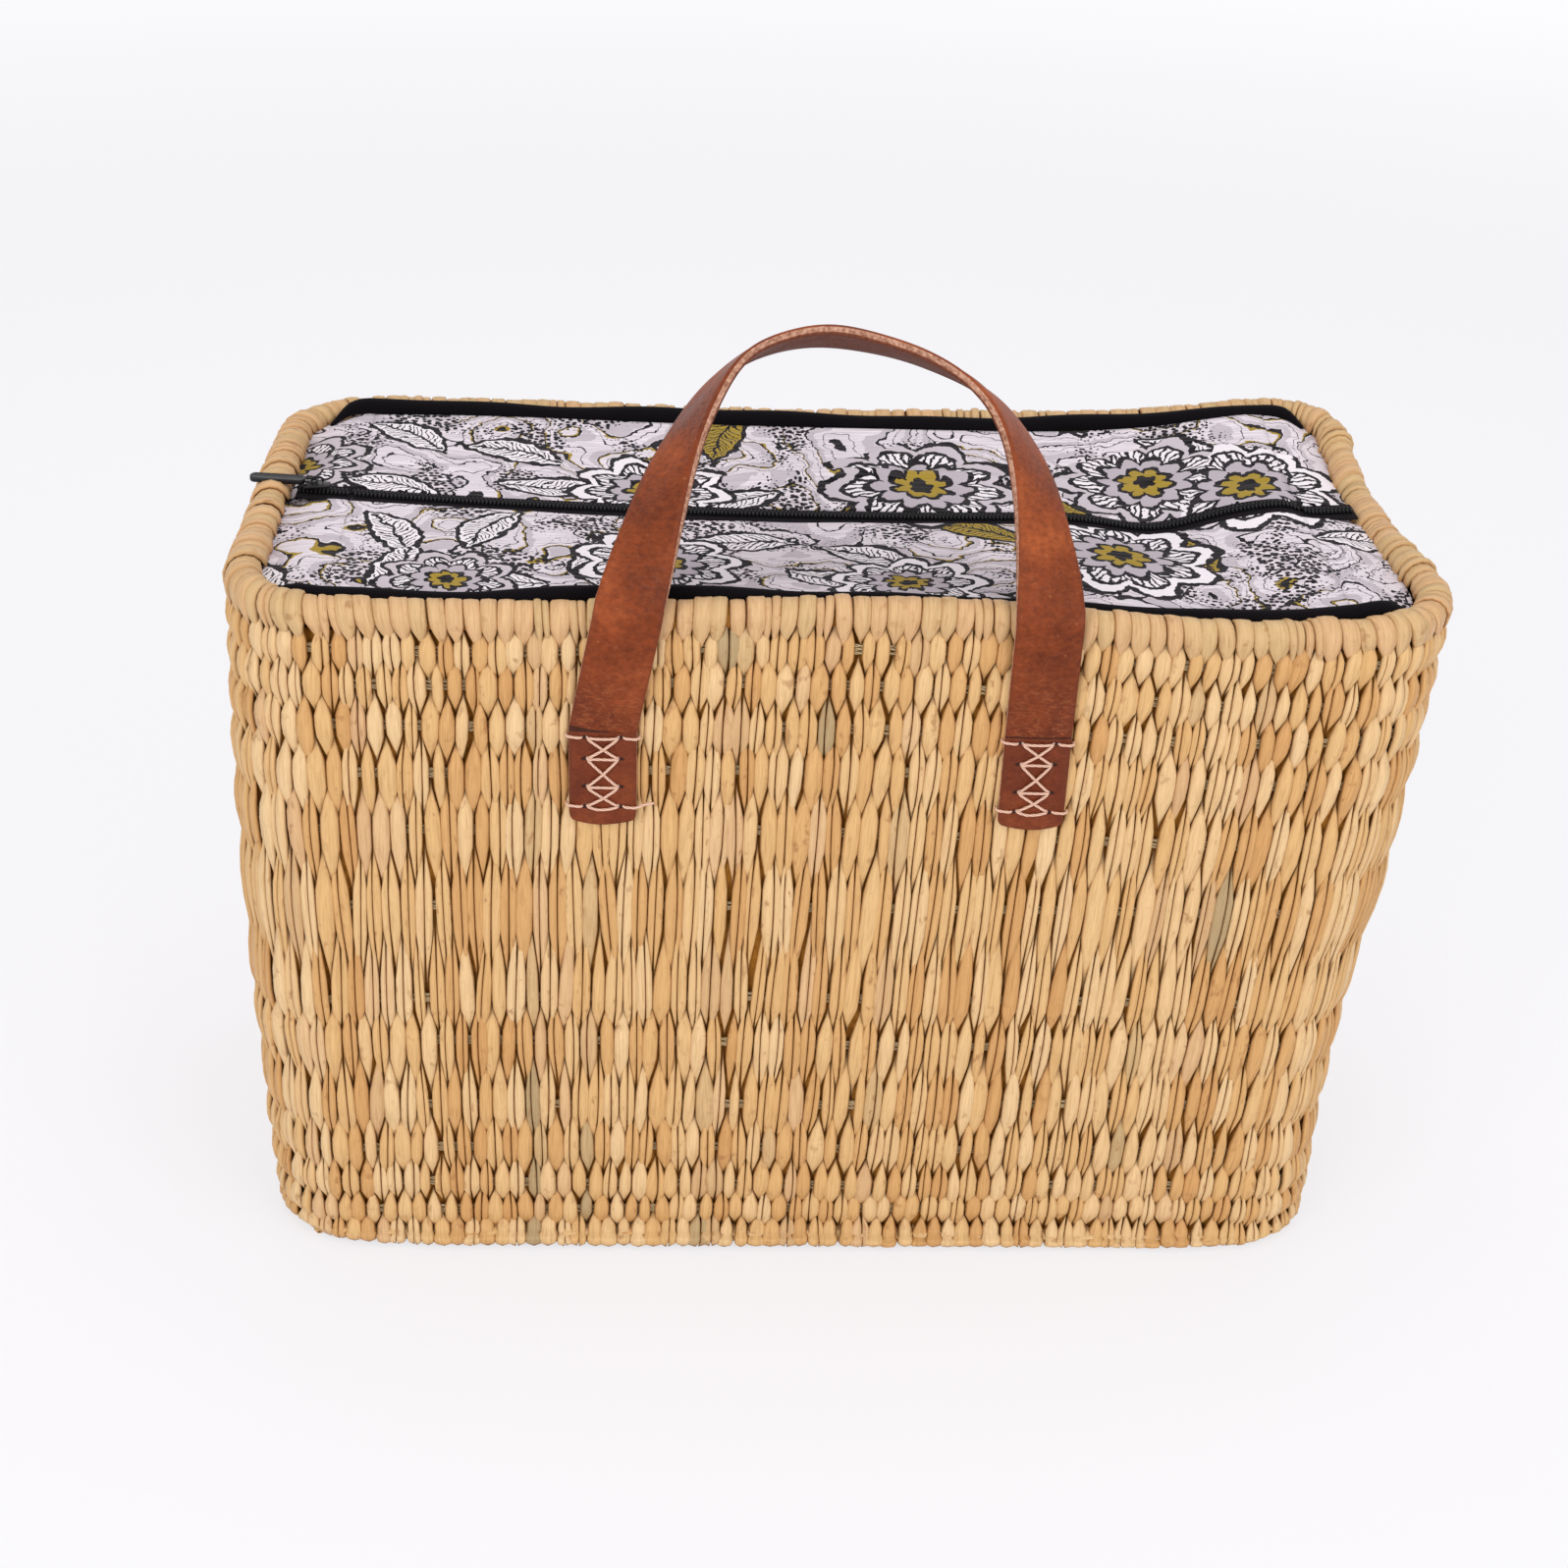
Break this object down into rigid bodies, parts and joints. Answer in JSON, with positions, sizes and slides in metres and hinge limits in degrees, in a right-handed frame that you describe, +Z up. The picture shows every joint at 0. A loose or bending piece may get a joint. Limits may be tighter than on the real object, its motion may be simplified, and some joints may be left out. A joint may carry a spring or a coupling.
{
  "type": "basket bag",
  "caption": "Rectangular woven reed basket bag with a wrapped rim, cotton lining, zipped cloth lid with piping and laced leather strap handles for carrying",
  "frame": {"origin": "middle of the base's underside, on the surface the bag stands on", "axes": "+X along the long side to the right, +Y to the back, +Z up; the handle in front is towards -Y"},
  "size_m": [0.4708, 0.2639, 0.3929],
  "materials": {
    "reed": "dried split reed, pale straw to honey, slightly waxy",
    "twine": "pale twisted plant twine",
    "lining_cloth": "plain pale grey cotton",
    "print_cloth": "printed cotton in black, grey and olive on grey white",
    "piping_cloth": "black cotton piping",
    "zip_tape": "black woven tape",
    "zip_coil": "black nylon coil",
    "zip_metal": "gloss black lacquer",
    "leather": "chestnut vegetable-tanned leather",
    "thread": "cream waxed thread"
  },
  "bodies": {
    "basket": {"base_mat": "reed", "reed_wall": "reed", "weft_cord_01": "twine", "weft_cord_02": "twine", "weft_cord_03": "twine", "weft_cord_04": "twine", "weft_cord_05": "twine", "weft_cord_06": "twine", "weft_cord_07": "twine", "weft_cord_08": "twine", "weft_cord_09": "twine", "weft_cord_10": "twine", "weft_cord_11": "twine", "weft_cord_12": "twine", "rim_roll": "reed", "lining_base": "lining_cloth", "lining_right": "lining_cloth", "lining_back": "lining_cloth", "lining_left": "lining_cloth", "lining_front": "lining_cloth", "front_piping": "piping_cloth", "back_piping": "piping_cloth", "left_end_panel": "print_cloth", "right_end_panel": "print_cloth", "zip_tail_left": "zip_tape", "zip_tail_right": "zip_tape", "front_left_tab": "leather", "front_right_tab": "leather", "back_left_tab": "leather", "back_right_tab": "leather", "front_left_lacing": "thread", "front_right_lacing": "thread", "back_left_lacing": "thread", "back_right_lacing": "thread"},
    "front_flap": {"front_lid_panel": "print_cloth", "front_zip_tape": "zip_tape", "front_zip_coil": "zip_coil"},
    "back_flap": {"back_lid_panel": "print_cloth", "back_zip_tape": "zip_tape", "back_zip_coil": "zip_coil"},
    "slider": {"zip_slider": "zip_metal"},
    "pull": {"zip_pull": "zip_metal"},
    "front_handle": {"front_strap": "leather"},
    "back_handle": {"back_strap": "leather"}
  },
  "joints": [
    {"name": "front_handle_swing", "type": "hinge", "parent": "basket", "child": "front_handle", "pos_m": [0, -0.11168, 0.25225], "axis": [1, 0, 0], "range_deg": [0, 160]},
    {"name": "back_handle_swing", "type": "hinge", "parent": "basket", "child": "back_handle", "pos_m": [0, 0.11168, 0.25225], "axis": [1, 0, 0], "range_deg": [0, 162]},
    {"name": "front_flap_open", "type": "hinge", "parent": "basket", "child": "front_flap", "pos_m": [0, -0.08946, 0.3005], "axis": [1, 0, 0], "range_deg": [0, 44]},
    {"name": "back_flap_open", "type": "hinge", "parent": "basket", "child": "back_flap", "pos_m": [0, 0.08946, 0.3005], "axis": [-1, 0, 0], "range_deg": [0, 80]},
    {"name": "zip_slide", "type": "slide", "parent": "basket", "child": "slider", "axis": [1, 0, 0], "range_m": [0, 0.418]},
    {"name": "zip_pull_flip", "type": "hinge", "parent": "slider", "child": "pull", "pos_m": [-0.20122, 0.004, 0.30535], "axis": [0, 1, 0], "range_deg": [0, 160]}
  ]
}
